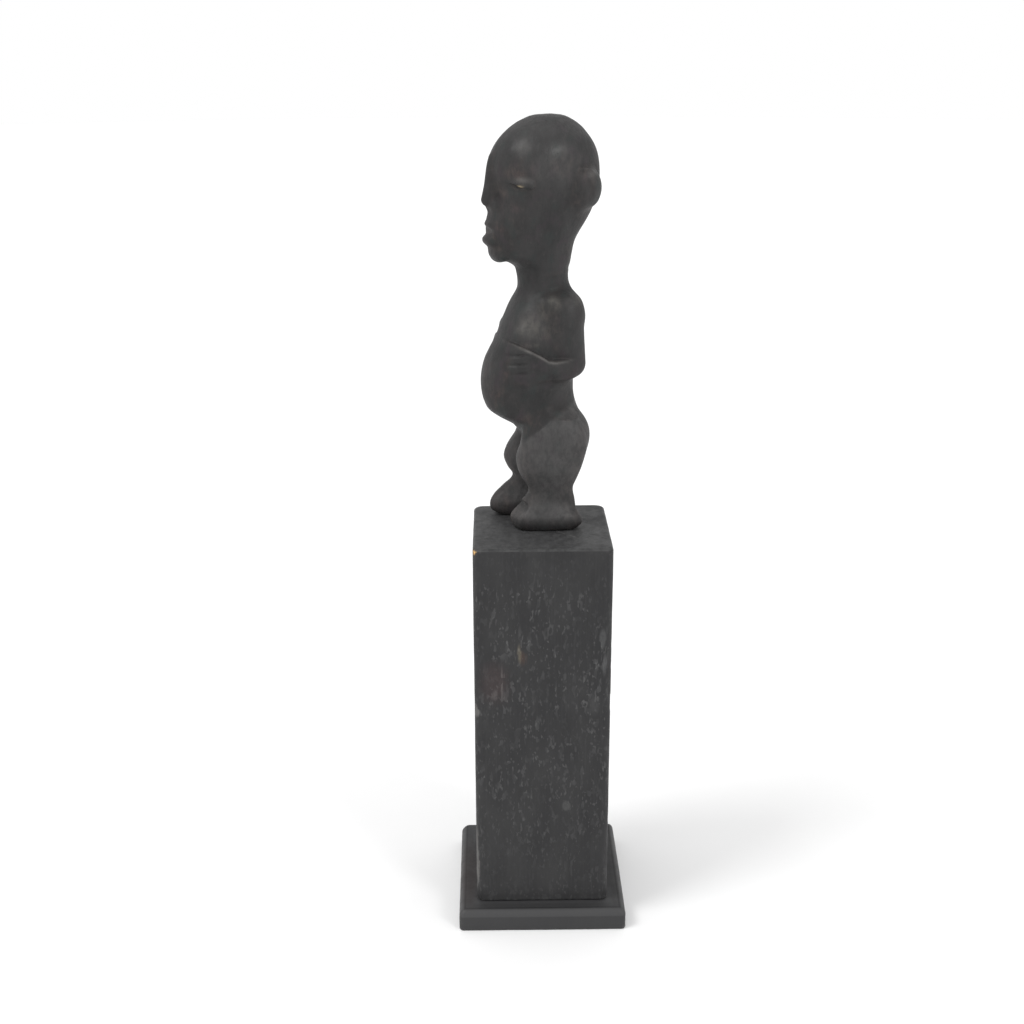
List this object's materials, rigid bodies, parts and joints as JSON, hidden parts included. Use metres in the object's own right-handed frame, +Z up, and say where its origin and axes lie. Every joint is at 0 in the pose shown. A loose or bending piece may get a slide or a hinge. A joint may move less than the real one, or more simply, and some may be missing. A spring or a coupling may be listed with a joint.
{
  "type": "fertility doll on display plinth",
  "caption": "Carved standing wooden figure with a large domed head and full belly, pinned to a tall square plinth on a moulded base.",
  "frame": {"origin": "centre of the underside of the base plate", "axes": "+Z up; the figure faces -Y, turned a little towards +X; X and Y along the sides of the square plinth"},
  "size_m": [0.0826, 0.0826, 0.3876],
  "materials": {
    "figure_wood": "dark handled hardwood, satin, rubbed brown on high spots",
    "plinth_paint": "timber with thin matt charcoal paint, flecked where the grain shows",
    "base_paint": "timber with satin charcoal paint, edges rubbed lighter",
    "fixing_steel": "bright zinc-plated steel"
  },
  "bodies": {
    "root": {"figure": "figure_wood", "column": "plinth_paint", "base_plate": "base_paint", "leg_pin_left": "fixing_steel", "leg_pin_right": "fixing_steel", "base_screw_1": "fixing_steel", "base_screw_2": "fixing_steel", "base_screw_3": "fixing_steel", "base_screw_4": "fixing_steel"}
  },
  "joints": []
}
